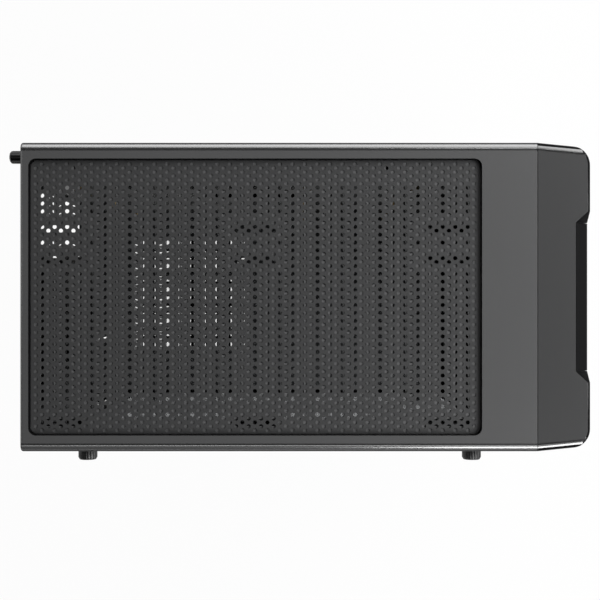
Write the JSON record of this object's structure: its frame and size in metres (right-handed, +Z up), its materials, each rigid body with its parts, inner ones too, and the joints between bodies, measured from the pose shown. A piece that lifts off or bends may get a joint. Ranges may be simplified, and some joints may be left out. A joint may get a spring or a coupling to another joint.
{
  "type": "mid tower pc case",
  "caption": "Empty mid tower computer case with a perforated top filter, glass left side, steel right side, notched front panel, board tray, power supply shroud and rear fan.",
  "frame": {"origin": "middle of the case's footprint, screw heads and button included, on the ground under the feet", "axes": "+Z up, -Y the front, +X the steel side, -X the glass side"},
  "size_m": [0.2056, 0.3768, 0.455],
  "materials": {
    "outer_steel": "satin paint",
    "chassis_steel": "satin black paint",
    "screw_steel": "zinc",
    "black_screws": "black zinc",
    "brass": "turned",
    "rubber": "matt",
    "black_plastic": "moulded",
    "fan_plastic": "moulded",
    "filter_sheet": "perforated magnetic sheet",
    "filter_mesh": "woven nylon",
    "tinted_glass": "tinted",
    "bezel_plastic": "fine satin",
    "grille_steel": "gloss black paint",
    "button_plastic": "satin",
    "lens_plastic": "clear",
    "board": "lacquered board",
    "port_steel": "pressed sheet",
    "tongue_plastic": "moulded"
  },
  "bodies": {
    "chassis": {"base_pan": "chassis_steel", "rear_panel": "chassis_steel", "motherboard_tray": "chassis_steel", "standoffs": "brass", "cable_grommet_upper": "rubber", "cable_grommet_middle": "rubber", "cable_grommet_lower": "rubber", "roof_panel": "chassis_steel", "front_plate": "chassis_steel", "psu_shroud": "chassis_steel", "drive_cage": "chassis_steel", "ssd_bracket_upper": "chassis_steel", "ssd_bracket_lower": "chassis_steel", "slot_shelf": "chassis_steel", "slot_cover_1": "chassis_steel", "slot_cover_2": "chassis_steel", "slot_cover_3": "chassis_steel", "slot_cover_4": "chassis_steel", "slot_cover_5": "chassis_steel", "slot_cover_6": "chassis_steel", "slot_cover_7": "chassis_steel", "slot_screws": "screw_steel", "chassis_rivets": "screw_steel", "glass_nuts": "screw_steel", "feet": "black_plastic", "foot_pads": "rubber", "psu_pads": "rubber", "filter_rails": "black_plastic", "rear_fan_frame": "fan_plastic", "rear_fan_screws": "screw_steel", "top_cover": "outer_steel"},
    "fan_rotor": {"rear_fan_rotor": "fan_plastic"},
    "top_filter": {"top_filter": "filter_sheet"},
    "glass_side": {"glass_panel": "tinted_glass", "glass_screws": "black_screws", "glass_washers": "rubber"},
    "steel_side": {"side_panel": "outer_steel", "side_screws": "black_screws"},
    "psu_filter": {"psu_filter_frame": "black_plastic", "psu_filter_mesh": "filter_mesh"},
    "front_panel": {"front_bezel": "bezel_plastic", "control_plate": "bezel_plastic", "front_clips": "black_plastic", "front_grille": "grille_steel", "front_filter_frame": "black_plastic", "front_filter_mesh": "filter_mesh", "io_board": "board", "io_screws": "screw_steel", "usb_port_1": "port_steel", "usb_port_2": "port_steel", "usb_tongue_1": "tongue_plastic", "usb_tongue_2": "tongue_plastic", "audio_jack_1": "black_plastic", "audio_jack_2": "black_plastic", "power_lens": "lens_plastic", "drive_lens": "lens_plastic", "power_switch": "black_plastic", "reset_switch": "black_plastic"},
    "power_button": {"power_button": "button_plastic"},
    "reset_button": {"reset_button": "button_plastic"}
  },
  "joints": [
    {"name": "fan_spin", "type": "hinge", "parent": "chassis", "child": "fan_rotor", "pos_m": [-0.0283, 0.1503, 0.3805], "axis": [0, 1, 0], "continuous": true},
    {"name": "top_filter_lift", "type": "slide", "parent": "chassis", "child": "top_filter", "axis": [0, 0, 1], "range_m": [0, 0.06]},
    {"name": "glass_side_off", "type": "slide", "parent": "chassis", "child": "glass_side", "axis": [-1, 0, 0], "range_m": [0, 0.12]},
    {"name": "steel_side_slide", "type": "slide", "parent": "chassis", "child": "steel_side", "axis": [0, 1, 0], "range_m": [0, 0.35]},
    {"name": "psu_filter_slide", "type": "slide", "parent": "chassis", "child": "psu_filter", "axis": [0, 1, 0], "range_m": [0, 0.15]},
    {"name": "front_panel_pull", "type": "slide", "parent": "chassis", "child": "front_panel", "axis": [0, -1, 0], "range_m": [0, 0.06]},
    {"name": "power_press", "type": "slide", "parent": "front_panel", "child": "power_button", "axis": [0, 1, 0], "range_m": [0, 0.0015], "stiffness_N_per_m": 400, "springref_m": -0.002},
    {"name": "reset_press", "type": "slide", "parent": "front_panel", "child": "reset_button", "axis": [0, 1, 0], "range_m": [0, 0.0015], "stiffness_N_per_m": 300, "springref_m": -0.002}
  ]
}
